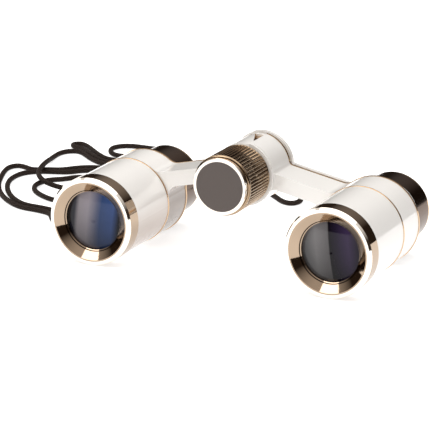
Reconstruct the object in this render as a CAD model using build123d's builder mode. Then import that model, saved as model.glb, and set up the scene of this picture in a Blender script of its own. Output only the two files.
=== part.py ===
from build123d import *
from math import cos, dist, hypot, pi, radians, sin, tan
import os

# Folding opera glasses. +X is the viewer's right from the front, -Y the objective end,
# +Y the eye end and +Z up; the origin is under the middle, on the surface they lie on.
# Millimetres throughout. Stations along the barrels count from the bezels' front faces.

# Driving dimensions
barrel_spacing = 80.0
tube_radius = 13.95
trim_radius = 14.15
overall_length = 55.4
hinge_height = 13.5
saddle_radius = 10.45
sleeve_radius = 9.7
knob_radius = 9.6
eyepiece_radius = 11.6
running = 0.04
fitted = 0.02
gap = 0.3

# Derived places
axis_x = barrel_spacing / 2
axis_z = trim_radius
hinge_z = axis_z + hinge_height
front_y = -overall_length / 2
sides = {"left": -1, "right": 1}

# Bezel and front lens cell
bezel_face_radius = 13.6
bezel_chamfer = 0.8
bezel_lip_radius = 12.3
bezel_throat_radius = 9.4
bezel_throat_start = 2.2
bezel_throat_end = 3.2
bezel_end = 5.75
cell_radius = 11.05
spigot_radius = 12.35
front_spigot_end = 9.5
lens_crown = 1.0
lens_clear_radius = 9.3
lens_edge = 2.7
lens_back = 0.6
retainer_bore = 9.8
retainer_length = 2.0

# Barrels
tube_bore = spigot_radius + fitted
tube_end = 26.6
body_start = 27.2
body_end = 39.3
trim_end = 39.9
body_bore = 11.9
body_spigot_start = 21.5
body_spigot_bore = 11.2
slide_radius = 10.6
slide_bore = 9.6
slide_start = 29.2
guide_end = 39.1

# Arms of the body castings
arm_top_inner = 13.8
arm_slope = 12.0
arm_height = 5.1
arm_reach = 33.0
arm_root = 6.0
ring_blend = 4.0
hub_blend = 1.6
trim_lip = 0.15
touching = 0.01

# Hinge
hinge_tube_radius = 8.85
hinge_bore = 7.05
knuckle_start = 26.4
rear_knuckle_start = 40.2
rear_knuckle_end = 41.4
knuckle_radius = 9.55
hinge_end = 41.8
saddle_angles = (-75.0, 76.0)
shell_angles = (78.5, 220.0)
shell_step_angle = 98.0
shell_step_station = 30.5

# Focus drive
knob_front = 9.9
knob_start = 11.5
knob_end = 26.1
knob_chamfer = 0.4
knob_web_start = 14.0
knob_web_end = 20.0
knob_recess = 8.4
knob_boss = 4.5
knob_ring_radius = 8.95
knob_ring_end = 10.9
disc_radius = 7.9
disc_seat = 10.95
disc_ledge = 6.5
screw_radius = 1.0
screw_head = 2.4
screw_head_start = 12.4
screw_end = 18.5
spindle_radius = 2.5
spindle_end = 44.0
bearing_end = 29.4
clip_radius = 4.2
clip_start = 29.5
clip_end = 30.4
stud_start = 30.8
stud_bore_end = 45.0
guide_station = 38.2
guide_angle = 211.5
guide_radius = 0.9
guide_tip = 5.5
guide_head = 9.5
guide_slot_end = 39.4
driver_slot = 0.35

# Eyepiece carriage
carriage_start = 42.1
carriage_hub_radius = 10.2
rear_hub_radius = 9.0
arm_plate = 1.5
rear_plate_start = carriage_start + arm_plate + gap
eyepiece_arm_inset = -1.1
stud_spigot_radius = 4.0
stud_thread_radius = 3.0
stud_thread_end = 47.8
washer_radius = 5.8
washer_thickness = 0.3
cap_nut_radius = 5.6
cap_nut_edge = 1.2
cap_nut_end = 49.0
collar_start = 40.3
eye_lip = 1.2
eye_bowl_radius = 8.0
eye_lens_radius = 9.3
eye_lens_start = 49.5
eye_lens_edge = 2.6
eye_lens_front = 0.7
eye_lens_hollow = 1.1

# Strap
cord_radius = 0.9
lug_station = 33.5
lug_reach = 17.35
lug_spigot = 1.0
lug_spigot_depth = 12.5
lug_flange = 2.0
lug_flange_end = 14.6
lug_neck = 0.9
eye_plate_radius = 2.1
eye_plate = 1.2
eye_hole = 1.1
ring_wire = 0.45
ring_radius = 3.0
hang = 0.05
cap_tilt = 25.0
cap_start = 1.6
cap_length = 7.0
cap_width = 5.0
cap_height = 2.9
bend_share = 0.45


def station(y):
    """The plane across the barrels at a station, with local axes X and Z."""
    return Plane(origin=(0, front_y + y, 0), x_dir=(1, 0, 0), z_dir=(0, -1, 0))


def turned(outline, x, z):
    """A turned piece. The outline holds (radius, station) corners; a step of four numbers
    is an arc, as its middle and its end."""
    with BuildPart() as piece:
        with BuildSketch(Plane(origin=(x, front_y, z), x_dir=(1, 0, 0), z_dir=(0, 0, 1))):
            with BuildLine():
                corner = outline[0]
                for step in outline[1:] + outline[:1]:
                    if len(step) == 4:
                        ThreePointArc(corner, step[:2], step[2:])
                    else:
                        Line(corner, step)
                    corner = step[-2:]
            make_face()
        revolve(axis=Axis((x, 0, z), (0, 1, 0)))
    return piece.part


def cap(radius, edge, apex):
    """A spherical cap's arc in a turned outline: (radius, edge), then its middle and its other end."""
    rise = abs(apex - edge)
    ball = (radius ** 2 + rise ** 2) / (2 * rise)
    fall = (ball - (ball ** 2 - radius ** 2 / 4) ** 0.5) * (1 if edge > apex else -1)
    return (radius / 2, apex + fall)


def sleeve(outer, bore, start, end, edge=0.0):
    """The outline of a plain ring or tube, with its two outer corners broken."""
    if not edge:
        return [(bore, start), (outer, start), (outer, end), (bore, end)]
    return [(bore, start), (outer - edge, start), (outer, start + edge),
            (outer, end - edge), (outer - edge, end), (bore, end)]


def pie(radius, angles):
    """A slice about the hinge axis, between two angles counted from +X."""
    start, middle, end = radians(angles[0]), radians(sum(angles) / 2), radians(angles[1])
    rim = [(radius * cos(a), hinge_z + radius * sin(a)) for a in (start, middle, end)]
    with BuildSketch() as cut_slice:
        with BuildLine():
            Line((0, hinge_z), rim[0])
            ThreePointArc(*rim)
            Line(rim[2], (0, hinge_z))
        make_face()
    return cut_slice.sketch


def bridge(side, hub, hub_radius, ring, grow=0.0):
    """A hub, an arm and a barrel ring in one outline, the arm grown by grow all round."""
    drop = tan(radians(arm_slope))
    root_top = axis_z + arm_top_inner + drop * (arm_top_inner - arm_root) + grow
    tip_top = axis_z + arm_top_inner - drop * (arm_reach - arm_top_inner) + grow
    deep = arm_height + 2 * grow
    arm = [(arm_root, root_top), (arm_reach, tip_top),
           (arm_reach, tip_top - deep), (arm_root, root_top - deep)]
    with BuildSketch() as outline:
        add(hub)
        with BuildLine():
            Polyline(*[(side * x, z) for x, z in arm], close=True)
        make_face()
        with Locations((side * axis_x, axis_z)):
            Circle(ring)
        corners = outline.vertices()
        at_ring = [v for v in corners if side * v.X < axis_x and v.Y > axis_z + arm_height / 2
                   and abs(hypot(v.X - side * axis_x, v.Y - axis_z) - ring) < touching]
        fillet(at_ring, ring_blend)
        low, high = root_top - deep - arm_height / 2, root_top + arm_height / 2
        at_hub = [v for v in outline.vertices() if side * v.X > arm_root and low < v.Y < high
                  and abs(hypot(v.X, v.Y - hinge_z) - hub_radius) < touching]
        fillet(at_hub, hub_blend)
    return outline.sketch


def slab(outline, start, end):
    """An outline made solid between two stations."""
    with BuildPart() as piece:
        with BuildSketch(station(start)):
            add(outline)
        extrude(amount=start - end)
    return piece.part


def bored(part, holes, start, end):
    """The part with round holes through it; a hole is its x, z and radius."""
    with BuildPart() as piece:
        add(part)
        for x, z, radius in holes:
            with BuildSketch(station(start)):
                with Locations((x, z)):
                    Circle(radius)
            extrude(amount=start - end, mode=Mode.SUBTRACT)
    return piece.part


def write(part, name):
    part.label = name
    export_step(part, f"parts/{name}.step")


os.makedirs("parts", exist_ok=True)


# Lens cells, tubes and eyepieces, alike on both sides
bezel = [
    (bezel_lip_radius, 0), (bezel_face_radius, 0), (trim_radius, bezel_chamfer),
    (trim_radius, bezel_end), (spigot_radius, bezel_end), (spigot_radius, front_spigot_end),
    (cell_radius, front_spigot_end), (cell_radius, bezel_throat_end),
    (bezel_throat_radius, bezel_throat_end), (bezel_throat_radius, bezel_throat_start),
]
lens_front = bezel_throat_end + fitted
lens_rear = lens_front + lens_edge
lens_rim = cell_radius - fitted
objective_lens = [
    (0, lens_front - lens_crown),
    (*cap(lens_clear_radius, lens_front, lens_front - lens_crown), lens_clear_radius, lens_front),
    (lens_rim, lens_front), (lens_rim, lens_rear), (lens_clear_radius, lens_rear),
    (*cap(lens_clear_radius, lens_rear, lens_rear + lens_back), 0, lens_rear + lens_back),
]
retainer_start = lens_rear + fitted
guide = sleeve(body_bore - fitted, slide_radius + running, body_start + fitted, guide_end)
eye_end = overall_length
eye_lens_rear = eye_lens_start + eye_lens_edge
eye_lens = [
    (0, eye_lens_start + eye_lens_front),
    (*cap(eye_bowl_radius, eye_lens_start, eye_lens_start + eye_lens_front),
     eye_bowl_radius, eye_lens_start),
    (eye_lens_radius, eye_lens_start), (eye_lens_radius, eye_lens_rear),
    (eye_bowl_radius, eye_lens_rear),
    (*cap(eye_bowl_radius, eye_lens_rear, eye_lens_rear - eye_lens_hollow),
     0, eye_lens_rear - eye_lens_hollow),
]
plate_starts = {"left": carriage_start, "right": rear_plate_start}
shell_bore = slide_radius + fitted

for name, side in sides.items():
    x = side * axis_x
    plate_end = plate_starts[name] + arm_plate
    shell_start = plate_end + fitted
    write(turned(bezel, x, axis_z), f"{name}_objective_bezel")
    write(turned(objective_lens, x, axis_z), f"{name}_objective_lens")
    write(
        turned(sleeve(cell_radius - fitted, retainer_bore, retainer_start,
                      retainer_start + retainer_length), x, axis_z),
        f"{name}_lens_retainer",
    )
    write(
        turned(sleeve(tube_radius, tube_bore, bezel_end + fitted, tube_end), x, axis_z),
        f"{name}_front_tube",
    )
    write(
        turned(sleeve(trim_radius, tube_bore, tube_end + fitted, body_start - fitted, 0.12), x, axis_z),
        f"{name}_joint_ring",
    )
    write(turned(guide, x, axis_z), f"{name}_guide_bush")
    write(
        turned(sleeve(slide_radius, slide_bore, slide_start, eye_lens_start - 3 * fitted), x, axis_z),
        f"{name}_slide_tube",
    )
    write(
        turned(sleeve(eyepiece_radius, shell_bore, collar_start, plate_starts[name] - fitted, 0.15),
               x, axis_z),
        f"{name}_eyepiece_collar",
    )
    eye_shell = [
        (shell_bore, shell_start), (eyepiece_radius, shell_start),
        (eyepiece_radius, eye_end - eye_lip), (eyepiece_radius - 0.2, eye_end - eye_lip),
        (eyepiece_radius - 0.2, eye_end - eye_lip + fitted),
        (eye_lens_radius + fitted, eye_end - eye_lip + fitted),
        (eye_lens_radius + fitted, eye_lens_start - 2 * fitted),
        (shell_bore, eye_lens_start - 2 * fitted),
    ]
    write(turned(eye_shell, x, axis_z), f"{name}_eyepiece_shell")
    write(turned(eye_lens, x, axis_z), f"{name}_eye_lens")
    write(
        turned(sleeve(eye_lens_radius, eye_bowl_radius, eye_lens_rear + fitted, eye_end - eye_lip),
               x, axis_z),
        f"{name}_eye_lens_retainer",
    )
    rim_start = eye_end - eye_lip + 2 * fitted
    write(
        turned([(eye_bowl_radius, rim_start), (eyepiece_radius, rim_start),
                (eyepiece_radius, eye_end - 0.5), (eyepiece_radius - 0.5, eye_end),
                (eye_bowl_radius + 1.6, eye_end)], x, axis_z),
        f"{name}_eye_rim",
    )

# Body castings: ring, arm and half of the hinge in each
hubs = {"left": (sleeve_radius, shell_angles), "right": (saddle_radius, saddle_angles)}
hub_bores = {"left": hinge_tube_radius + fitted, "right": hinge_tube_radius + running}
trim_hubs = {
    "left": (sleeve_radius, (shell_step_angle, shell_angles[1])),
    "right": (saddle_radius + trim_lip, saddle_angles),
}
guide_plane = Plane(
    origin=(0, front_y + guide_station, hinge_z), x_dir=(0, 1, 0),
    z_dir=(cos(radians(guide_angle)), 0, sin(radians(guide_angle))),
)
lug_plane = Plane(origin=(-axis_x, front_y + lug_station, axis_z), x_dir=(0, 1, 0), z_dir=(-1, 0, 0))
for name, side in sides.items():
    x = side * axis_x
    radius, angles = hubs[name]
    outline = bridge(side, pie(radius, angles), radius, tube_radius)
    with BuildPart() as casting:
        with BuildSketch(station(body_start)):
            add(outline)
        extrude(amount=body_start - body_end)
        with BuildSketch(station(body_spigot_start)):
            with Locations((x, axis_z)):
                Circle(spigot_radius)
        extrude(amount=body_spigot_start - body_start)
        with BuildSketch(station(body_spigot_start)):
            with Locations((x, axis_z)):
                Circle(body_spigot_bore)
        extrude(amount=body_spigot_start - body_start, mode=Mode.SUBTRACT)
        with BuildSketch(station(body_start)):
            with Locations((x, axis_z)):
                Circle(body_bore)
            with Locations((0, hinge_z)):
                Circle(hub_bores[name])
        extrude(amount=body_start - body_end, mode=Mode.SUBTRACT)
        if name == "left":
            # the shell's edge steps back over the top, so the bare hinge tube shows beside the saddle
            step_x = sleeve_radius * cos(radians(shell_angles[0]))
            far_x = sleeve_radius * cos(radians(shell_step_angle))
            with BuildSketch(Plane.XY.offset(hinge_z)):
                with BuildLine():
                    Polyline((step_x, front_y + shell_step_station), (far_x, front_y + body_end),
                             (arm_root, front_y + body_end), (arm_root, front_y + shell_step_station),
                             close=True)
                make_face()
            extrude(amount=saddle_radius, mode=Mode.SUBTRACT)
            with BuildSketch(guide_plane.offset(guide_tip)):
                Circle(guide_radius + fitted)
            extrude(amount=saddle_radius - guide_tip, mode=Mode.SUBTRACT)
            with BuildSketch(lug_plane.offset(lug_spigot_depth)):
                Circle(lug_spigot + fitted)
            extrude(amount=tube_radius - lug_spigot_depth, mode=Mode.SUBTRACT)
    write(casting.part, f"{name}_body")

    trim_hub, trim_angles = trim_hubs[name]
    trim_outline = bridge(side, pie(trim_hub, trim_angles), trim_hub, trim_radius, trim_lip)
    trim = slab(trim_outline, body_end + fitted, trim_end)
    write(bored(trim, [(x, axis_z, body_bore), (0, hinge_z, hub_bores[name])], body_end, trim_end),
          f"{name}_rear_trim")

# Hinge tube and the knuckles of the right half
with BuildPart() as hinge_tube:
    add(turned(sleeve(hinge_tube_radius, hinge_bore, knuckle_start, hinge_end, 0.2), 0, hinge_z))
    with BuildSketch(guide_plane.offset(guide_tip)):
        Circle(guide_radius + fitted)
    extrude(amount=saddle_radius - guide_tip, mode=Mode.SUBTRACT)
write(hinge_tube.part, "hinge_tube")

knuckle_bore = (0, hinge_z, hinge_tube_radius + running)
front_knuckle = turned(
    sleeve(knuckle_radius, hinge_tube_radius + running, knuckle_start, body_start - gap), 0, hinge_z
) + bored(slab(pie(saddle_radius - trim_lip, saddle_angles), knuckle_start, body_start - fitted),
          [knuckle_bore], knuckle_start, body_start)
write(front_knuckle, "front_knuckle")
rear_knuckle = turned(
    sleeve(knuckle_radius, hinge_tube_radius + running, rear_knuckle_start, rear_knuckle_end), 0, hinge_z
) + bored(slab(pie(knuckle_radius + trim_lip, saddle_angles), trim_end + fitted, rear_knuckle_end),
          [knuckle_bore], trim_end, rear_knuckle_end)
write(rear_knuckle, "rear_knuckle")

# Focus knob and its spindle
knob = [
    (knob_recess, knob_start), (knob_radius - knob_chamfer, knob_start),
    (knob_radius, knob_start + knob_chamfer), (knob_radius, knob_end - knob_chamfer),
    (knob_radius - knob_chamfer, knob_end), (knob_recess, knob_end), (knob_recess, knob_web_end),
    (knob_boss, knob_web_end), (knob_boss, knob_end + 0.2), (spindle_radius + fitted, knob_end + 0.2),
    (spindle_radius + fitted, knob_web_start), (knob_recess, knob_web_start),
]
write(turned(knob, 0, hinge_z), "focus_knob")
knob_ring = [
    (disc_radius + fitted, knob_front), (knob_ring_radius - 0.2, knob_front),
    (knob_ring_radius, knob_front + 0.2), (knob_ring_radius, knob_ring_end),
    (knob_recess - fitted, knob_ring_end), (knob_recess - fitted, knob_web_start - fitted),
    (disc_ledge, knob_web_start - fitted), (disc_ledge, disc_seat), (disc_radius + fitted, disc_seat),
]
write(turned(knob_ring, 0, hinge_z), "knob_front_ring")
disc = [(0, knob_front + 0.1), (disc_radius, knob_front + 0.1),
        (disc_radius, disc_seat - fitted), (0, disc_seat - fitted)]
write(turned(disc, 0, hinge_z), "knob_disc")
screw = [
    (0, screw_head_start), (screw_head - 0.5, screw_head_start), (screw_head, screw_head_start + 0.5),
    (screw_head, knob_web_start - fitted), (screw_radius, knob_web_start - fitted),
    (screw_radius, screw_end), (0, screw_end),
]
write(turned(screw, 0, hinge_z), "knob_screw")
spindle = [
    (screw_radius + fitted, knob_web_start), (spindle_radius, knob_web_start),
    (spindle_radius, spindle_end), (0, spindle_end), (0, screw_end + fitted),
    (screw_radius + fitted, screw_end + fitted),
]
write(turned(spindle, 0, hinge_z), "focus_spindle")
write(turned(sleeve(clip_radius, spindle_radius + fitted, clip_start, clip_end), 0, hinge_z), "spindle_clip")
write(
    turned(sleeve(hinge_bore - fitted, spindle_radius + running, knuckle_start, bearing_end), 0, hinge_z),
    "spindle_bearing",
)

# Carriage: the stud that the spindle drives, and the two eyepiece arms on it
stud_outline = [
    (spindle_radius + running, stud_start), (hinge_bore - running, stud_start),
    (hinge_bore - running, carriage_start - fitted), (stud_spigot_radius, carriage_start - fitted),
    (stud_spigot_radius, rear_plate_start + arm_plate + fitted),
    (stud_thread_radius, rear_plate_start + arm_plate + fitted),
    (stud_thread_radius, stud_thread_end), (0, stud_thread_end), (0, stud_bore_end),
    (spindle_radius + running, stud_bore_end),
]
with BuildPart() as stud:
    add(turned(stud_outline, 0, hinge_z))
    slot_length = guide_slot_end - stud_start
    with BuildSketch(guide_plane.offset(guide_tip - gap)):
        with Locations((stud_start - guide_station + slot_length / 2, 0)):
            Rectangle(slot_length, 2 * (guide_radius + running))
    extrude(amount=saddle_radius - guide_tip, mode=Mode.SUBTRACT)
write(stud.part, "carriage_stud")
with BuildPart() as guide_screw:
    with BuildSketch(guide_plane.offset(guide_tip)):
        Circle(guide_radius)
    extrude(amount=guide_head - guide_tip)
    with BuildSketch(guide_plane.offset(guide_head)):
        Rectangle(2 * guide_radius, driver_slot)
    extrude(amount=-driver_slot, mode=Mode.SUBTRACT)
write(guide_screw.part, "guide_screw")

carriage_hubs = {"left": (carriage_hub_radius, fitted), "right": (rear_hub_radius, running)}
for name, side in sides.items():
    radius, play = carriage_hubs[name]
    start = plate_starts[name]
    with BuildSketch() as hub_disc:
        with Locations((0, hinge_z)):
            Circle(radius)
    outline = bridge(side, hub_disc.sketch, radius, eyepiece_radius, eyepiece_arm_inset)
    holes = [(side * axis_x, axis_z, slide_radius + fitted), (0, hinge_z, stud_spigot_radius + play)]
    write(bored(slab(outline, start, start + arm_plate), holes, start, start + arm_plate),
          f"{name}_eyepiece_arm")
washer_start = rear_plate_start + arm_plate + 2 * fitted
write(
    turned(sleeve(washer_radius, stud_thread_radius + fitted, washer_start, washer_start + washer_thickness),
           0, hinge_z),
    "spring_washer",
)
nut_start = washer_start + washer_thickness + fitted
cap_nut = [
    (stud_thread_radius + fitted, nut_start), (cap_nut_radius, nut_start),
    (cap_nut_radius, nut_start + cap_nut_edge),
    (*cap(cap_nut_radius, nut_start + cap_nut_edge, cap_nut_end), 0, cap_nut_end),
    (0, stud_thread_end + fitted), (stud_thread_radius + fitted, stud_thread_end + fitted),
]
write(turned(cap_nut, 0, hinge_z), "cap_nut")

# Strap lug, split ring and the cap that holds both ends of the cord
lug_y = front_y + lug_station
eye_x = -axis_x - lug_reach


def eye_disc(z):
    """A drilled eye that lies across the strap's ring."""
    with BuildPart() as eye:
        with BuildSketch(Plane(origin=(eye_x, lug_y - eye_plate / 2, z), x_dir=(1, 0, 0), z_dir=(0, -1, 0))):
            Circle(eye_plate_radius)
            Circle(eye_hole, mode=Mode.SUBTRACT)
        extrude(amount=-eye_plate)
    return eye.part


eye_drop = eye_hole - ring_wire - hang
ring_z = axis_z - eye_drop - ring_radius
cap_z = ring_z - ring_radius - eye_drop
with BuildPart() as lug:
    with BuildSketch(lug_plane.offset(lug_spigot_depth)):
        Circle(lug_spigot)
    extrude(amount=tube_radius + fitted - lug_spigot_depth)
    with BuildSketch(lug_plane.offset(tube_radius + fitted)):
        Circle(lug_flange)
    extrude(amount=lug_flange_end - tube_radius)
    with BuildSketch(lug_plane.offset(lug_flange_end)):
        Circle(lug_neck)
    extrude(amount=lug_reach - eye_hole - lug_neck / 2 - lug_flange_end)
    add(eye_disc(axis_z))
write(lug.part, "strap_lug")
with BuildPart() as split_ring:
    with BuildSketch(Plane(origin=(eye_x, lug_y, ring_z), x_dir=(1, 0, 0), z_dir=(0, -1, 0))):
        with Locations((0, ring_radius)):
            Circle(ring_wire)
    revolve(axis=Axis((eye_x, lug_y, ring_z), (1, 0, 0)))
write(split_ring.part, "strap_ring")
cap_plane = Plane(
    origin=(eye_x, lug_y, cap_z), x_dir=(0, 1, 0),
    z_dir=(-cos(radians(cap_tilt)), 0, -sin(radians(cap_tilt))),
)
with BuildPart() as cord_cap:
    with BuildSketch(cap_plane.offset(cap_start)):
        SlotOverall(cap_width, cap_height)
    extrude(amount=cap_length)
    add(eye_disc(cap_z))
write(cord_cap.part, "strap_cap")

# Neck cord: one length, laid by hand. Each point is (x, y) where the cord lies on the
# surface and (x, y, z) where it leaves the cap or passes over itself.
cord_route = [
    (-65.17, 7.0, 3.3), (-69.25, 7.0, 1.4), (-73.2, 12.7), (-78, 18.4), (-84.3, 19.9),
    (-91.2, 20.4), (-98.2, 25.1), (-104.6, 32.1), (-109.7, 40.1), (-112.7, 48.1), (-112.5, 55.9),
    (-108, 60.2), (-103, 61.7), (-97.8, 63.3), (-94.6, 67.6), (-89.3, 69.5), (-82.5, 67.8),
    (-75.5, 64.1), (-67.5, 63.5), (-60.8, 68.8), (-60, 77.3), (-66.5, 83.6), (-75, 84.1),
    (-82.5, 80.9), (-89, 80.3), (-94.6, 82.1), (-99.4, 85.5), (-104.2, 89.9), (-109.2, 94.0),
    (-113.8, 95.5), (-115.5, 98.4), (-112.9, 100.5), (-108.7, 97.7), (-103.2, 92.4), (-98, 87.6),
    (-93, 84.3), (-86.5, 85.3), (-80.6, 86.9), (-75.3, 87.0), (-71.5, 90.8), (-71.5, 96.1),
    (-75.2, 99.8), (-81, 99.8), (-88.5, 91.1), (-93.3, 90.6), (-97.2, 93.5), (-99.7, 98.8),
    (-98.3, 103.1), (-94.3, 105.2), (-88, 105.0), (-81, 104.6), (-73.2, 102.8), (-66.2, 95.5),
    (-60.5, 88.6), (-52.3, 84.6), (-44.3, 82), (-36.5, 78.6), (-27, 72.8), (-18.5, 65.1),
    (-12.9, 59.5), (-8.9, 59.5), (-8.1, 64.5), (-12.2, 71.8), (-19.5, 76.3), (-26.3, 75.1, 3.2),
    (-33.5, 69.8, 3.2), (-42, 65.8), (-50.5, 59.8), (-56, 50.8), (-63, 41.8), (-71, 33.8),
    (-78.5, 29.3), (-85.7, 29.7), (-92.4, 33.3), (-97.9, 38.1), (-100.9, 44.6), (-99.8, 51.2),
    (-95.3, 54.4), (-91.8, 59.3), (-85.5, 60.6), (-78.5, 58.3), (-76, 51.8), (-80, 45.8),
    (-87, 43.5), (-94.6, 42.7, 2.2), (-100, 45.9, 3.2), (-104.5, 53.1, 3.2), (-107.3, 62.1, 3.2),
    (-109.7, 69.6, 2.4), (-112.2, 75.6, 1.1), (-113.4, 81.3), (-113.6, 85.5), (-112.3, 88.6),
    (-109.6, 90.2), (-107.0, 89.4), (-103.4, 86.4), (-99.9, 83.1), (-95.3, 79.9), (-89.3, 77.3),
    (-82.5, 77.9), (-75.3, 80.3), (-68.7, 80.4), (-64.8, 76.5), (-64.8, 70.9), (-68.7, 67.0),
    (-75.2, 67.3), (-81, 70.5), (-86.8, 73.1), (-93.1, 73.0), (-98.3, 69.6), (-101.5, 65.1),
    (-106.7, 63.3), (-111.6, 60.9), (-115.5, 63.1), (-119, 64.0), (-120.8, 60.9), (-119.8, 55.7),
    (-116.6, 47.7), (-112.9, 39.6), (-107.1, 30.6), (-99.8, 23.0), (-91.8, 17.7), (-84.3, 17.0),
    (-78.3, 15.4), (-74.7, 9.5), (-69.7, 4.6, 1.19), (-65.17, 4.6, 3.3),
]
path_points = [(*point, cord_radius)[:3] for point in cord_route]
runs = [dist(a, b) for a, b in zip(path_points, path_points[1:])]
bend_radii = []
for i, corner in enumerate(path_points[1:-1]):
    before = Vector(*corner) - Vector(*path_points[i])
    after = Vector(*path_points[i + 2]) - Vector(*corner)
    half_turn = radians(before.get_angle(after)) / 2
    bend_radii.append(bend_share * min(runs[i], runs[i + 1]) / tan(half_turn))
with BuildPart() as cord:
    with BuildLine() as cord_path:
        FilletPolyline(*path_points, radius=bend_radii)
    cord_line = cord_path.wire()
    with BuildSketch(Plane(origin=cord_line @ 0, z_dir=cord_line % 0)):
        Circle(cord_radius)
    sweep(path=cord_line)
write(cord.part, "neck_cord")

straight_volume = pi * cord_radius**2 * cord_line.length
print("cord length", round(cord_line.length, 1))
print("cord bend radii", [round(radius, 1) for radius in bend_radii])
print("cord volume", round(cord.part.volume, 1), "section times length", round(straight_volume, 1))
print("pieces", len(os.listdir("parts")))
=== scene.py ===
from math import cos, pi, radians, sin, tau

import bmesh
import bpy
from mathutils import Matrix, Vector


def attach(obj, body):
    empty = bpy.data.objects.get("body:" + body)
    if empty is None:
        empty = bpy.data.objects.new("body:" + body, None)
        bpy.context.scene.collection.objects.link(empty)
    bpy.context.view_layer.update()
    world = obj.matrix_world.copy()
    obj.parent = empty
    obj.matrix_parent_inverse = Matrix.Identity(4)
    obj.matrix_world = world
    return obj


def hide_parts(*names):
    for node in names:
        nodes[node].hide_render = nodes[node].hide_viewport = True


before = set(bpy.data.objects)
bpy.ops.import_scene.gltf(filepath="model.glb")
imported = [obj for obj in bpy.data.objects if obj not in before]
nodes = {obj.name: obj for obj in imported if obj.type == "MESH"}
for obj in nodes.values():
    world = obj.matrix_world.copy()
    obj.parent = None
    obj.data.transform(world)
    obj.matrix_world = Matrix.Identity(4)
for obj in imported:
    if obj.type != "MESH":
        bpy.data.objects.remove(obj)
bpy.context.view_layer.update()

scene = bpy.context.scene
mm = 0.001
print("frame loaded")


# Camera: front right of the glasses and a little above them
view = {"target": (-4.12, -12.42, 16.81), "distance": 737.2, "azimuth": 25.6,
        "elevation": 16.43, "roll": -0.35, "lens": 199.4}


def makeCamera(cfg):
    az, el, roll = (radians(cfg[key]) for key in ("azimuth", "elevation", "roll"))
    back = Vector((sin(az) * cos(el), -cos(az) * cos(el), sin(el)))
    level = Vector((cos(az), sin(az), 0))
    upright = back.cross(level)
    right = level * cos(roll) + upright * sin(roll)
    up = upright * cos(roll) - level * sin(roll)
    camera = bpy.data.objects.new("camera", bpy.data.cameras.new("camera"))
    camera.data.lens = cfg["lens"]
    camera.data.sensor_width = 36
    camera.data.clip_start = 0.05
    place = Vector(cfg["target"]) + back * cfg["distance"]
    turn = Matrix((right, up, back)).transposed().to_4x4()
    camera.matrix_world = Matrix.Translation(place * mm) @ turn
    scene.collection.objects.link(camera)
    return camera


scene.camera = makeCamera(view)


# Shading tools
def newMaterial(name, base, rough, metal=0.0, **more):
    mat = bpy.data.materials.new(name)
    mat.use_nodes = True
    shader = mat.node_tree.nodes["Principled BSDF"]
    shader.inputs["Base Color"].default_value = (*base, 1)
    shader.inputs["Roughness"].default_value = rough
    shader.inputs["Metallic"].default_value = metal
    for key, value in more.items():
        shader.inputs[key.replace("_", " ")].default_value = value
    return mat


def addNode(tree, kind, values=(), **props):
    node = tree.nodes.new("ShaderNode" + kind)
    for key, value in props.items():
        setattr(node, key, value)
    for key, value in dict(values).items():
        node.inputs[key].default_value = value
    return node


def calc(tree, how, *terms):
    node = addNode(tree, "Math", operation=how)
    for i, term in enumerate(terms):
        if isinstance(term, (int, float)):
            node.inputs[i].default_value = term
        else:
            tree.links.new(term, node.inputs[i])
    return node.outputs[0]


def newGroup(name, inputs, outputs):
    tree = bpy.data.node_groups.new(name, "ShaderNodeTree")
    for label, kind, value in inputs:
        socket = tree.interface.new_socket(label, in_out="INPUT", socket_type="NodeSocket" + kind)
        if value is not None:
            socket.default_value = value
    for label, kind in outputs:
        tree.interface.new_socket(label, in_out="OUTPUT", socket_type="NodeSocket" + kind)
    return tree, tree.nodes.new("NodeGroupInput").outputs, tree.nodes.new("NodeGroupOutput").inputs


def makeSurfaceGroup():
    # fine grain as bump, broad smudges in colour and roughness
    tree, given, out = newGroup(
        "surfaceDetail",
        [("Color", "Color", None), ("Roughness", "Float", 0.2), ("Grain", "Float", 900.0),
         ("Bump", "Float", 0.02), ("Smudge", "Float", 0.06), ("Tint", "Float", 0.05)],
        [("Color", "Color"), ("Roughness", "Float"), ("Normal", "Vector")])
    link = tree.links.new
    place = addNode(tree, "TexCoord").outputs["Object"]
    fine = addNode(tree, "TexNoise", {"Detail": 3.0, "Roughness": 0.55})
    broad = addNode(tree, "TexNoise", {"Scale": 70.0, "Detail": 4.0, "Roughness": 0.6})
    link(place, fine.inputs["Vector"])
    link(place, broad.inputs["Vector"])
    link(given["Grain"], fine.inputs["Scale"])
    offset = calc(tree, "SUBTRACT", broad.outputs["Fac"], 0.5)
    rough = calc(tree, "MULTIPLY_ADD", offset, given["Smudge"], given["Roughness"])
    link(calc(tree, "MAXIMUM", rough, 0.02), out["Roughness"])
    shade = addNode(tree, "HueSaturation")
    link(given["Color"], shade.inputs["Color"])
    link(calc(tree, "MULTIPLY_ADD", offset, given["Tint"], 1.0), shade.inputs["Value"])
    link(shade.outputs[0], out["Color"])
    bump = addNode(tree, "Bump", {"Distance": 0.0002})
    link(given["Bump"], bump.inputs["Strength"])
    link(fine.outputs["Fac"], bump.inputs["Height"])
    link(bump.outputs[0], out["Normal"])
    return tree


surfaceGroup = makeSurfaceGroup()


def detail(mat, color=None, **values):
    # joins the surface detail to a material's own shader
    tree = mat.node_tree
    shader = tree.nodes["Principled BSDF"]
    group = addNode(tree, "Group", node_tree=surfaceGroup)
    group.inputs["Color"].default_value = shader.inputs["Base Color"].default_value
    group.inputs["Roughness"].default_value = shader.inputs["Roughness"].default_value
    for key, value in values.items():
        group.inputs[key].default_value = value
    if color is not None:
        tree.links.new(color, group.inputs["Color"])
    tree.links.new(group.outputs["Color"], shader.inputs["Base Color"])
    tree.links.new(group.outputs["Roughness"], shader.inputs["Roughness"])
    tree.links.new(group.outputs["Normal"], shader.inputs["Normal"])
    return mat


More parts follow.
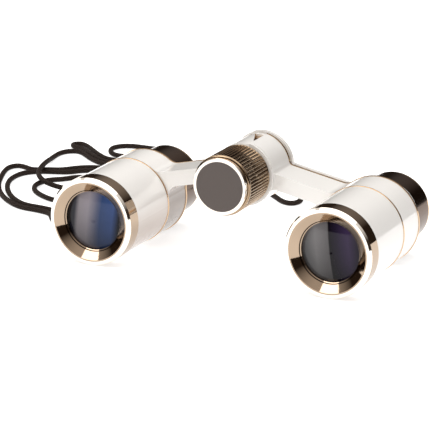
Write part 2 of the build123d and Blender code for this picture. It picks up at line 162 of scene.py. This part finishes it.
def paint(mat, *names):
    for name in names:
        mesh = nodes[name].data
        mesh.materials.clear()
        mesh.materials.append(mat)


def both(*names):
    return [f"{side}_{name}" for side in ("left", "right") for name in names]


def newObject(name, mesh, body, mat):
    piece = bpy.data.objects.new(name, mesh)
    scene.collection.objects.link(piece)
    mesh.materials.append(mat)
    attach(piece, body)
    return piece


# Neck cord: points in millimetres, on the surface unless a height is given
cordSet = {"radius": 0.9, "length": 0.8525, "sides": 12, "step": 0.5, "plait": 2.6, "strands": 8}
cordRoute = [
    (-65.17, 7.0, 3.3), (-69.25, 7.0, 1.4), (-73.2, 12.7), (-78, 18.4), (-84.3, 19.9),
    (-91.2, 20.4), (-98.2, 25.1), (-104.6, 32.1), (-109.7, 40.1), (-112.7, 48.1), (-112.5, 55.9),
    (-108, 60.2), (-103, 61.7), (-97.8, 63.3), (-94.6, 67.6), (-89.3, 69.5), (-82.5, 67.8),
    (-75.5, 64.1), (-67.5, 63.5), (-60.8, 68.8), (-60, 77.3), (-66.5, 83.6), (-75, 84.1),
    (-82.5, 80.9), (-89, 80.3), (-94.6, 82.1), (-99.4, 85.5), (-104.2, 89.9), (-109.2, 94.0),
    (-113.8, 95.5), (-115.5, 98.4), (-112.9, 100.5), (-108.7, 97.7), (-103.2, 92.4), (-98, 87.6),
    (-93, 84.3), (-86.5, 85.3), (-80.6, 86.9), (-75.3, 87.0), (-71.5, 90.8), (-71.5, 96.1),
    (-75.2, 99.8), (-81, 99.8), (-88.5, 91.1), (-93.3, 90.6), (-97.2, 93.5), (-99.7, 98.8),
    (-98.3, 103.1), (-94.3, 105.2), (-88, 105.0), (-81, 104.6), (-73.2, 102.8), (-66.2, 95.5),
    (-60.5, 88.6), (-52.3, 84.6), (-44.3, 82), (-36.5, 78.6), (-27, 72.8), (-18.5, 65.1),
    (-12.9, 59.5), (-8.9, 59.5), (-8.1, 64.5), (-12.2, 71.8), (-19.5, 76.3), (-26.3, 75.1, 3.2),
    (-33.5, 69.8, 3.2), (-42, 65.8), (-50.5, 59.8), (-56, 50.8), (-63, 41.8), (-71, 33.8),
    (-78.5, 29.3), (-85.7, 29.7), (-92.4, 33.3), (-97.9, 38.1), (-100.9, 44.6), (-99.8, 51.2),
    (-95.3, 54.4), (-91.8, 59.3), (-85.5, 60.6), (-78.5, 58.3), (-76, 51.8), (-80, 45.8),
    (-87, 43.5), (-94.6, 42.7, 2.2), (-100, 45.9, 3.2), (-104.5, 53.1, 3.2), (-107.3, 62.1, 3.2),
    (-109.7, 69.6, 2.4), (-112.2, 75.6, 1.1), (-113.4, 81.3), (-113.6, 85.5), (-112.3, 88.6),
    (-109.6, 90.2), (-107.0, 89.4), (-103.4, 86.4), (-99.9, 83.1), (-95.3, 79.9), (-89.3, 77.3),
    (-82.5, 77.9), (-75.3, 80.3), (-68.7, 80.4), (-64.8, 76.5), (-64.8, 70.9), (-68.7, 67.0),
    (-75.2, 67.3), (-81, 70.5), (-86.8, 73.1), (-93.1, 73.0), (-98.3, 69.6), (-101.5, 65.1),
    (-106.7, 63.3), (-111.6, 60.9), (-115.5, 63.1), (-119, 64.0), (-120.8, 60.9), (-119.8, 55.7),
    (-116.6, 47.7), (-112.9, 39.6), (-107.1, 30.6), (-99.8, 23.0), (-91.8, 17.7), (-84.3, 17.0),
    (-78.3, 15.4), (-74.7, 9.5), (-69.7, 4.6, 1.19), (-65.17, 4.6, 3.3),
]


def makeCordLine(points, radius):
    line = bpy.data.curves.new("cordLine", "CURVE")
    line.dimensions = "3D"
    line.resolution_u = 20
    spline = line.splines.new("NURBS")
    spline.points.add(len(points) - 1)
    for point, place in zip(spline.points, points):
        point.co = (*[v * mm for v in (*place, radius)[:3]], 1)
    spline.order_u = 3
    spline.use_endpoint_u = True
    holder = bpy.data.objects.new("cordLine", line)
    scene.collection.objects.link(holder)
    bpy.context.view_layer.update()
    mesh = bpy.data.meshes.new_from_object(holder)
    path = [v.co.copy() for v in mesh.vertices]
    bpy.data.objects.remove(holder)
    bpy.data.meshes.remove(mesh)
    return path


def evenly(path, step):
    spots, ahead = [path[0].copy()], step
    for a, b in zip(path, path[1:]):
        run = (b - a).length
        while run and ahead <= run:
            spots.append(a.lerp(b, ahead / run))
            ahead += step
        ahead -= run
    if (spots[-1] - path[-1]).length > step / 3:
        spots.append(path[-1].copy())
    else:
        spots[-1] = path[-1].copy()
    return spots


def makeTube(path, radius, sides):
    # a closed tube along the path; UV is the length in cord radii and the share of a turn
    tube = bmesh.new()
    uv = tube.loops.layers.uv.new("cord")
    aside = Vector((0, 0, 1)).cross(path[1] - path[0]).normalized()
    rings, travel, along = [], 0.0, []
    for i, spot in enumerate(path):
        ahead = (path[min(i + 1, len(path) - 1)] - path[max(i - 1, 0)]).normalized()
        aside = (aside - ahead * aside.dot(ahead)).normalized()
        over = ahead.cross(aside)
        rings.append([tube.verts.new(spot + (aside * cos(tau * k / sides) +
                                             over * sin(tau * k / sides)) * radius)
                      for k in range(sides)])
        if i:
            travel += (spot - path[i - 1]).length
        along.append(travel / radius)
    for i in range(len(rings) - 1):
        for k in range(sides):
            m = (k + 1) % sides
            face = tube.faces.new((rings[i][k], rings[i][m], rings[i + 1][m], rings[i + 1][k]))
            face.smooth = True
            corners = ((i, k), (i, k + 1), (i + 1, k + 1), (i + 1, k))
            for loop, (a, b) in zip(face.loops, corners):
                loop[uv].uv = (along[a], b / sides)
    tube.faces.new(rings[0][::-1])
    tube.faces.new(rings[-1])
    tube.normal_update()
    mesh = bpy.data.meshes.new("neckCord")
    tube.to_mesh(mesh)
    tube.free()
    return mesh


def makeCordMaterial(cfg):
    # two families of strands wind opposite ways and pass over each other in turn
    mat = newMaterial("cordBraid", (0.011, 0.0075, 0.006), 0.6, Specular_IOR_Level=0.06)
    tree = mat.node_tree
    place = addNode(tree, "UVMap", uv_map="cord").outputs[0]
    split = addNode(tree, "SeparateXYZ")
    tree.links.new(place, split.inputs[0])
    lengthwise = calc(tree, "DIVIDE", split.outputs["X"], cfg["plait"])
    around = calc(tree, "MULTIPLY", split.outputs["Y"], cfg["strands"])
    one = calc(tree, "ADD", lengthwise, around)
    other = calc(tree, "SUBTRACT", lengthwise, around)
    bulges = [calc(tree, "ABSOLUTE", calc(tree, "SINE", calc(tree, "MULTIPLY", way, pi)))
              for way in (one, other)]
    cell = calc(tree, "ADD", calc(tree, "FLOOR", one), calc(tree, "FLOOR", other))
    swap = calc(tree, "FLOORED_MODULO", cell, 2.0)
    height = addNode(tree, "Mix", data_type="FLOAT")
    tree.links.new(swap, height.inputs["Factor"])
    tree.links.new(bulges[0], height.inputs["A"])
    tree.links.new(bulges[1], height.inputs["B"])
    # painted shade: the dips between strands are painted darker than the strand crowns
    ramp = addNode(tree, "ValToRGB")
    ramp.color_ramp.elements[0].color = (0.006, 0.004, 0.0035, 1)
    ramp.color_ramp.elements[1].color = (0.034, 0.024, 0.02, 1)
    tree.links.new(height.outputs["Result"], ramp.inputs["Fac"])
    bump = addNode(tree, "Bump", {"Strength": 0.6, "Distance": 0.00012})
    tree.links.new(height.outputs["Result"], bump.inputs["Height"])
    shader = tree.nodes["Principled BSDF"]
    tree.links.new(ramp.outputs["Color"], shader.inputs["Base Color"])
    tree.links.new(bump.outputs[0], shader.inputs["Normal"])
    return mat


cordPath = evenly(makeCordLine(cordRoute, cordSet["radius"]), cordSet["step"] * mm)
neckCord = newObject("neckCord", makeTube(cordPath, cordSet["radius"] * mm, cordSet["sides"]),
                     "left_half", makeCordMaterial(cordSet))
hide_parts("neck_cord")
print("cord laid")


# White enamel castings and tubes
enamelSet = {"base": (0.92, 0.905, 0.885), "rough": 0.16, "coat": 0.6, "coatRough": 0.06}
enamelGrain = {"Grain": 260.0, "Bump": 0.03, "Smudge": 0.05, "Tint": 0.02}

# The left barrel's inner side is tinted by the way its surface faces. The tint is painted on and
# stands in for a dark reflection, so it stays there in every view and light
paintedReflectionWay = (0.86, -0.05, -0.5)
paintedReflectionSet = {"left_front_tube": {"color": (0.42, 0.33, 0.28), "start": 0.62, "end": 1.05},
           "left_body": {"color": (0.26, 0.21, 0.18), "start": 0.55, "end": 0.85}}


# painted dark reflection: the enamel colour turns darker where the surface faces the set way
def paintReflectionByFacing(tree, base, cfg):
    facing = addNode(tree, "VectorMath", {1: paintedReflectionWay}, operation="DOT_PRODUCT")
    tree.links.new(addNode(tree, "NewGeometry").outputs["Normal"], facing.inputs[0])
    amount = addNode(tree, "MapRange", {"From Min": cfg["start"], "From Max": cfg["end"]})
    tree.links.new(facing.outputs["Value"], amount.inputs["Value"])
    mix = addNode(tree, "Mix", {"A": (*base, 1), "B": (*cfg["color"], 1)}, data_type="RGBA")
    tree.links.new(amount.outputs["Result"], mix.inputs["Factor"])
    return mix.outputs["Result"]


def makeEnamel(name, cfg, paintedReflection=None):
    mat = newMaterial(name, cfg["base"], cfg["rough"], Coat_Weight=cfg["coat"],
                      Coat_Roughness=cfg["coatRough"])
    color = paintReflectionByFacing(mat.node_tree, cfg["base"], paintedReflection) if paintedReflection else None
    return detail(mat, color=color, **enamelGrain)


paint(makeEnamel("whiteEnamel", enamelSet), "right_front_tube", "right_body",
      *both("eyepiece_arm"), "front_knuckle", "rear_knuckle")
# the left tube and body get the painted dark reflection over the enamel
for piece, paintedReflection in paintedReflectionSet.items():
    paint(makeEnamel(piece + "Enamel", enamelSet, paintedReflection), piece)

# Plated metal, from pale to dark
platedSet = {
    "paleGold": {"base": (0.92, 0.86, 0.78), "rough": 0.10},
    "roseGold": {"base": (0.66, 0.47, 0.30), "rough": 0.14},
    "darkPlate": {"base": (0.11, 0.07, 0.05), "rough": 0.16},
    "steel": {"base": (0.60, 0.60, 0.60), "rough": 0.25},
}
plated = {name: detail(newMaterial(name, cfg["base"], cfg["rough"], 1.0), Grain=1500.0, Bump=0.02,
                       Smudge=0.05, Tint=0.10) for name, cfg in platedSet.items()}
paint(plated["paleGold"], "knob_front_ring")
paint(plated["roseGold"], *both("joint_ring", "rear_trim", "eye_rim"),
      "hinge_tube", "spindle_bearing", "cap_nut", "strap_lug", "strap_ring", "strap_cap")
paint(plated["darkPlate"], *both("eyepiece_collar", "eyepiece_shell", "slide_tube"))
paint(plated["steel"], "knob_screw", "focus_spindle", "spindle_clip", "carriage_stud",
      "guide_screw", "spring_washer")

# Bezels: a bright front ring round a deeper gold cone and band. The ring's near-white colour is a painted
# reflection of the pale floor, and the thin groove round the lip is painted near-black as shade
bezelSet = {"ring": (0.95, 0.91, 0.84), "gold": (0.42, 0.32, 0.235), "dark": (0.03, 0.02, 0.015),
            "inner": 0.0127, "lip": 0.00965, "groove": 0.00995, "step": -0.02695, "x": 0.04, "z": 0.01415}


def makeBezelMaterial(cfg):
    mat = newMaterial("bezelGold", cfg["gold"], 0.06, 1.0)
    tree = mat.node_tree
    split = addNode(tree, "SeparateXYZ")
    tree.links.new(addNode(tree, "TexCoord").outputs["Object"], split.inputs[0])
    x = calc(tree, "SUBTRACT", calc(tree, "ABSOLUTE", split.outputs["X"]), cfg["x"])
    z = calc(tree, "SUBTRACT", split.outputs["Z"], cfg["z"])
    radius = calc(tree, "SQRT", calc(tree, "MULTIPLY_ADD", x, x, calc(tree, "MULTIPLY", z, z)))
    ring = calc(tree, "MULTIPLY", calc(tree, "GREATER_THAN", radius, cfg["inner"]),
                calc(tree, "LESS_THAN", split.outputs["Y"], cfg["step"]))
    lip = calc(tree, "LESS_THAN", radius, cfg["lip"])
    groove = calc(tree, "MULTIPLY", calc(tree, "LESS_THAN", radius, cfg["groove"]),
                  calc(tree, "SUBTRACT", 1.0, lip))
    color = None
    # the ring takes the painted pale reflection colour and the groove the painted shade
    for mask, tone in ((ring, "ring"), (groove, "dark")):
        mix = addNode(tree, "Mix", {"A": (*cfg["gold"], 1), "B": (*cfg[tone], 1)}, data_type="RGBA")
        tree.links.new(mask, mix.inputs["Factor"])
        if color is not None:
            tree.links.new(color, mix.inputs["A"])
        color = mix.outputs["Result"]
    return detail(mat, color=color, Grain=1500.0, Bump=0.02, Smudge=0.05, Tint=0.08)


paint(makeBezelMaterial(bezelSet), *both("objective_bezel"))

# Blackened cells inside the barrels
blackened = detail(newMaterial("blackened", (0.012, 0.011, 0.011), 0.6), Grain=1200.0, Bump=0.2)
paint(blackened, *both("lens_retainer", "guide_bush", "eye_lens_retainer"))

# Satin disc in the knob
discPaint = detail(newMaterial("discPaint", (0.105, 0.086, 0.079), 0.42, Specular_IOR_Level=0.3),
                   Grain=2600.0, Bump=0.12, Smudge=0.1, Tint=0.06)
paint(discPaint, "knob_disc")


# Coated lenses: bands of colour painted across each lens, in place of true reflections, and each lens
# painted lighter towards its top as painted light from above
lensSet = {"x": 0.04, "z": 0.01415, "radius": 0.0093, "lean": 0.12, "lowest": 0.35, "highest": 1.3}


def makeLensMaterial(name, x, radius, lean, stops):
    mat = newMaterial(name, (0.02, 0.02, 0.03), 0.04, Coat_Weight=0.25, Coat_IOR=1.3,
                      Specular_IOR_Level=0.15)
    tree = mat.node_tree
    split = addNode(tree, "SeparateXYZ")
    tree.links.new(addNode(tree, "TexCoord").outputs["Object"], split.inputs[0])
    across = calc(tree, "DIVIDE", calc(tree, "SUBTRACT", split.outputs["X"], x), radius * 2)
    height = calc(tree, "DIVIDE", calc(tree, "SUBTRACT", split.outputs["Z"], lensSet["z"]), radius * 2)
    where = calc(tree, "ADD", calc(tree, "MULTIPLY_ADD", height, lean, across), 0.5)
    ramp = addNode(tree, "ValToRGB")
    bar = ramp.color_ramp
    while len(bar.elements) < len(stops):
        bar.elements.new(0.5)
    for element, (spot, color) in zip(bar.elements, stops):
        element.position = spot
        element.color = (*color, 1)
    tree.links.new(where, ramp.inputs["Fac"])
    # painted light: the lens colour is scaled from dim at the bottom to bright at the top
    paintedTopLight = addNode(tree, "MapRange", {"From Min": -0.5, "From Max": 0.5,
                                     "To Min": lensSet["lowest"], "To Max": lensSet["highest"]})
    tree.links.new(height, paintedTopLight.inputs["Value"])
    shade = addNode(tree, "VectorMath", operation="SCALE")
    tree.links.new(ramp.outputs["Color"], shade.inputs[0])
    tree.links.new(paintedTopLight.outputs["Result"], shade.inputs["Scale"])
    return detail(mat, color=shade.outputs["Vector"], Grain=400.0, Bump=0.0, Smudge=0.02, Tint=0.3)


leftBands = [(0.0, (0.004, 0.004, 0.006)), (0.12, (0.02, 0.02, 0.03)), (0.2, (0.22, 0.2, 0.22)),
             (0.38, (0.24, 0.22, 0.25)), (0.55, (0.08, 0.09, 0.15)), (0.62, (0.03, 0.055, 0.14)),
             (0.84, (0.035, 0.07, 0.2)), (0.95, (0.004, 0.005, 0.012))]
rightBands = [(0.0, (0.07, 0.07, 0.075)), (0.25, (0.17, 0.165, 0.17)), (0.48, (0.10, 0.095, 0.10)),
              (0.50, (0.004, 0.003, 0.005)), (0.62, (0.012, 0.008, 0.02)), (0.82, (0.035, 0.022, 0.06)),
              (1.0, (0.008, 0.005, 0.012))]
eyeBands = [(0.0, (0.02, 0.03, 0.05)), (0.5, (0.05, 0.05, 0.09)), (1.0, (0.02, 0.03, 0.05))]
paint(makeLensMaterial("leftLens", -lensSet["x"], lensSet["radius"], -lensSet["lean"], leftBands),
      "left_objective_lens")
paint(makeLensMaterial("rightLens", lensSet["x"], lensSet["radius"], lensSet["lean"], rightBands),
      "right_objective_lens")
paint(makeLensMaterial("eyeLens", 0.0, 0.08, 0.2, eyeBands), *both("eye_lens"))
print("cad pieces painted")


# Focus knob: a turned body with straight knurling
knobSet = {"radius": 9.6, "front": -27.7, "z": 27.65, "ridges": 56, "bar": 0.34,
           "knurlStart": 12.35, "knurlEnd": 25.5, "segments": 128}
knobProfile = [
    (8.4, 14.0), (8.4, 11.5), (9.2, 11.5), (9.6, 11.85), (9.6, 12.3), (9.15, 12.4), (9.15, 25.45),
    (9.6, 25.55), (9.6, 25.75), (9.25, 26.1), (8.4, 26.1), (8.4, 20.0), (4.5, 20.0), (4.5, 26.3),
    (2.52, 26.3), (2.52, 14.0),
]


def makeTurned(profile, segments, front, z):
    # a closed ring of the (radius, station) outline about the axis along Y
    body = bmesh.new()
    rings = []
    for k in range(segments):
        a = tau * k / segments
        rings.append([body.verts.new(Vector((r * cos(a), front + y, z + r * sin(a))) * mm)
                      for r, y in profile])
    for k in range(segments):
        here, there = rings[k], rings[(k + 1) % segments]
        for i in range(len(profile)):
            j = (i + 1) % len(profile)
            body.faces.new((here[i], here[j], there[j], there[i]))
    bmesh.ops.recalc_face_normals(body, faces=body.faces)
    for face in body.faces:
        face.smooth = True
    mesh = bpy.data.meshes.new("turned")
    body.to_mesh(mesh)
    body.free()
    return mesh


def makeKnurlTree():
    tree = bpy.data.node_groups.new("knurling", "GeometryNodeTree")
    sockets = {}
    tree.interface.new_socket("Geometry", in_out="INPUT", socket_type="NodeSocketGeometry")
    for label, kind in (("Ridges", "Int"), ("Radius", "Float"), ("Bar", "Float"), ("Length", "Float"),
                        ("Place", "Vector"), ("Material", "Material")):
        sockets[label] = tree.interface.new_socket(label, in_out="INPUT", socket_type="NodeSocket" + kind)
    tree.interface.new_socket("Geometry", in_out="OUTPUT", socket_type="NodeSocketGeometry")
    link = tree.links.new

    def add(kind, **values):
        node = tree.nodes.new("GeometryNode" + kind)
        for key, value in values.items():
            node.inputs[key.replace("_", " ")].default_value = value
        return node

    given = tree.nodes.new("NodeGroupInput").outputs
    out = tree.nodes.new("NodeGroupOutput")
    run = tree.nodes.new("ShaderNodeCombineXYZ")
    link(given["Length"], run.inputs["Z"])
    axis = add("CurvePrimitiveLine")
    link(run.outputs[0], axis.inputs["End"])
    section = add("CurvePrimitiveCircle", Resolution=10)
    link(given["Bar"], section.inputs["Radius"])
    bar = add("CurveToMesh", Fill_Caps=True)
    link(axis.outputs[0], bar.inputs["Curve"])
    link(section.outputs[0], bar.inputs["Profile Curve"])
    circle = add("MeshCircle")
    link(given["Ridges"], circle.inputs["Vertices"])
    link(given["Radius"], circle.inputs["Radius"])
    spread = add("InstanceOnPoints")
    link(circle.outputs[0], spread.inputs["Points"])
    link(bar.outputs[0], spread.inputs["Instance"])
    whole = add("RealizeInstances")
    link(spread.outputs[0], whole.inputs[0])
    place = add("Transform", Rotation=(-pi / 2, 0, 0))
    link(whole.outputs[0], place.inputs["Geometry"])
    link(given["Place"], place.inputs["Translation"])
    smooth = add("SetShadeSmooth")
    link(place.outputs[0], smooth.inputs["Geometry"])
    joined = add("JoinGeometry")
    link(smooth.outputs[0], joined.inputs[0])
    link(given["Geometry"], joined.inputs[0])
    dressed = add("SetMaterial")
    link(joined.outputs[0], dressed.inputs["Geometry"])
    link(given["Material"], dressed.inputs["Material"])
    link(dressed.outputs[0], out.inputs[0])
    return tree, {label: socket.identifier for label, socket in sockets.items()}


def makeKnob(cfg, mat):
    turned = makeTurned(knobProfile, cfg["segments"], cfg["front"], cfg["z"])
    blank = bpy.data.objects.new("knobBlank", turned)
    scene.collection.objects.link(blank)
    tree, names = makeKnurlTree()
    knurl = blank.modifiers.new("knurling", "NODES")
    knurl.node_group = tree
    knurl[names["Ridges"]] = cfg["ridges"]
    knurl[names["Radius"]] = (cfg["radius"] - cfg["bar"]) * mm
    knurl[names["Bar"]] = cfg["bar"] * mm
    knurl[names["Length"]] = (cfg["knurlEnd"] - cfg["knurlStart"]) * mm
    knurl[names["Place"]] = (0.0, (cfg["front"] + cfg["knurlStart"]) * mm, cfg["z"] * mm)
    knurl[names["Material"]] = mat
    bpy.context.view_layer.update()
    seen = blank.evaluated_get(bpy.context.evaluated_depsgraph_get())
    mesh = bpy.data.meshes.new_from_object(seen)
    mesh.name = "focusKnob"
    bpy.data.objects.remove(blank)
    mesh.materials.clear()
    return mesh


knobMetal = detail(newMaterial("knobMetal", (0.36, 0.26, 0.17), 0.14, 1.0), Grain=1500.0, Bump=0.0,
                   Smudge=0.08, Tint=0.15)
focusKnob = newObject("focusKnob", makeKnob(knobSet, knobMetal), "focus_drive", knobMetal)
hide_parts("focus_knob")
print("knob built")


# Floor, and a studio of soft panels against a darker room
def makeFloor(size):
    mesh = bpy.data.meshes.new("floor")
    corners = [(-size, -size, 0), (size, -size, 0), (size, size, 0), (-size, size, 0)]
    mesh.from_pydata(corners, [], [(0, 1, 2, 3)])
    floor = bpy.data.objects.new("floor", mesh)
    scene.collection.objects.link(floor)
    mat = newMaterial("paleFloor", (0.68, 0.68, 0.68), 0.6, Specular_IOR_Level=0.1,
                      Emission_Color=(1, 1, 1, 1), Emission_Strength=0.7)
    mesh.materials.append(detail(mat, Grain=500.0, Bump=0.0, Smudge=0.05, Tint=0.01))


makeFloor(0.65)

# each panel: the way it lies, half its width and height over its distance, strength, colour
panels = [
    ((-0.41, -0.51, 0.75), 0.28, 0.42, 4.4, (1, 0.98, 0.95)),
    ((0.0, 0.1, 1.0), 0.75, 0.75, 2.1, (1, 0.99, 0.97)),
    ((-0.9, 0.5, 0.55), 0.25, 0.35, 1.5, (1, 0.97, 0.92)),
]
room = {"low": (0.035, 0.024, 0.018), "high": (0.75, 0.70, 0.66)}


def makeWorld():
    world = bpy.data.worlds.new("studio")
    world.use_nodes = True
    tree = world.node_tree
    link = tree.links.new
    way = addNode(tree, "TexCoord").outputs["Generated"]
    split = addNode(tree, "SeparateXYZ")
    link(way, split.inputs[0])
    wall = addNode(tree, "Mix", {"A": (*room["low"], 1), "B": (*room["high"], 1)}, data_type="RGBA")
    climb = addNode(tree, "MapRange", {"From Min": 0.3, "From Max": 0.75})
    link(split.outputs["Z"], climb.inputs["Value"])
    link(climb.outputs[0], wall.inputs["Factor"])
    total = wall.outputs["Result"]
    for aim, width, height, strength, color in panels:
        front = Vector(aim).normalized()
        side = Vector((0, 1, 0)).cross(front) if abs(front.z) > 0.9 else Vector((0, 0, 1)).cross(front)
        side.normalize()
        masks = []
        reach = addNode(tree, "VectorMath", {1: front}, operation="DOT_PRODUCT")
        link(way, reach.inputs[0])
        ahead = calc(tree, "MAXIMUM", reach.outputs["Value"], 0.001)
        for axis, half in ((side, width), (front.cross(side), height)):
            shift = addNode(tree, "VectorMath", {1: axis}, operation="DOT_PRODUCT")
            link(way, shift.inputs[0])
            ratio = calc(tree, "ABSOLUTE", calc(tree, "DIVIDE", shift.outputs["Value"], ahead))
            edge = addNode(tree, "MapRange", {"From Min": half, "From Max": half * 0.9},
                           interpolation_type="SMOOTHSTEP")
            link(ratio, edge.inputs["Value"])
            masks.append(edge.outputs[0])
        glow = calc(tree, "MULTIPLY", masks[0], masks[1])
        mix = addNode(tree, "Mix", {"B": (*[c * strength for c in color], 1)}, data_type="RGBA")
        link(glow, mix.inputs["Factor"])
        link(total, mix.inputs["A"])
        total = mix.outputs["Result"]
    # the camera sees a plain white backdrop, and everything else is lit by the room
    backdrop = addNode(tree, "Mix", {"B": (1, 1, 1, 1)}, data_type="RGBA")
    link(addNode(tree, "LightPath").outputs["Is Camera Ray"], backdrop.inputs["Factor"])
    link(total, backdrop.inputs["A"])
    link(backdrop.outputs["Result"], tree.nodes["Background"].inputs["Color"])
    scene.world = world


makeWorld()
scene.view_settings.view_transform = "Standard"
print("studio set")
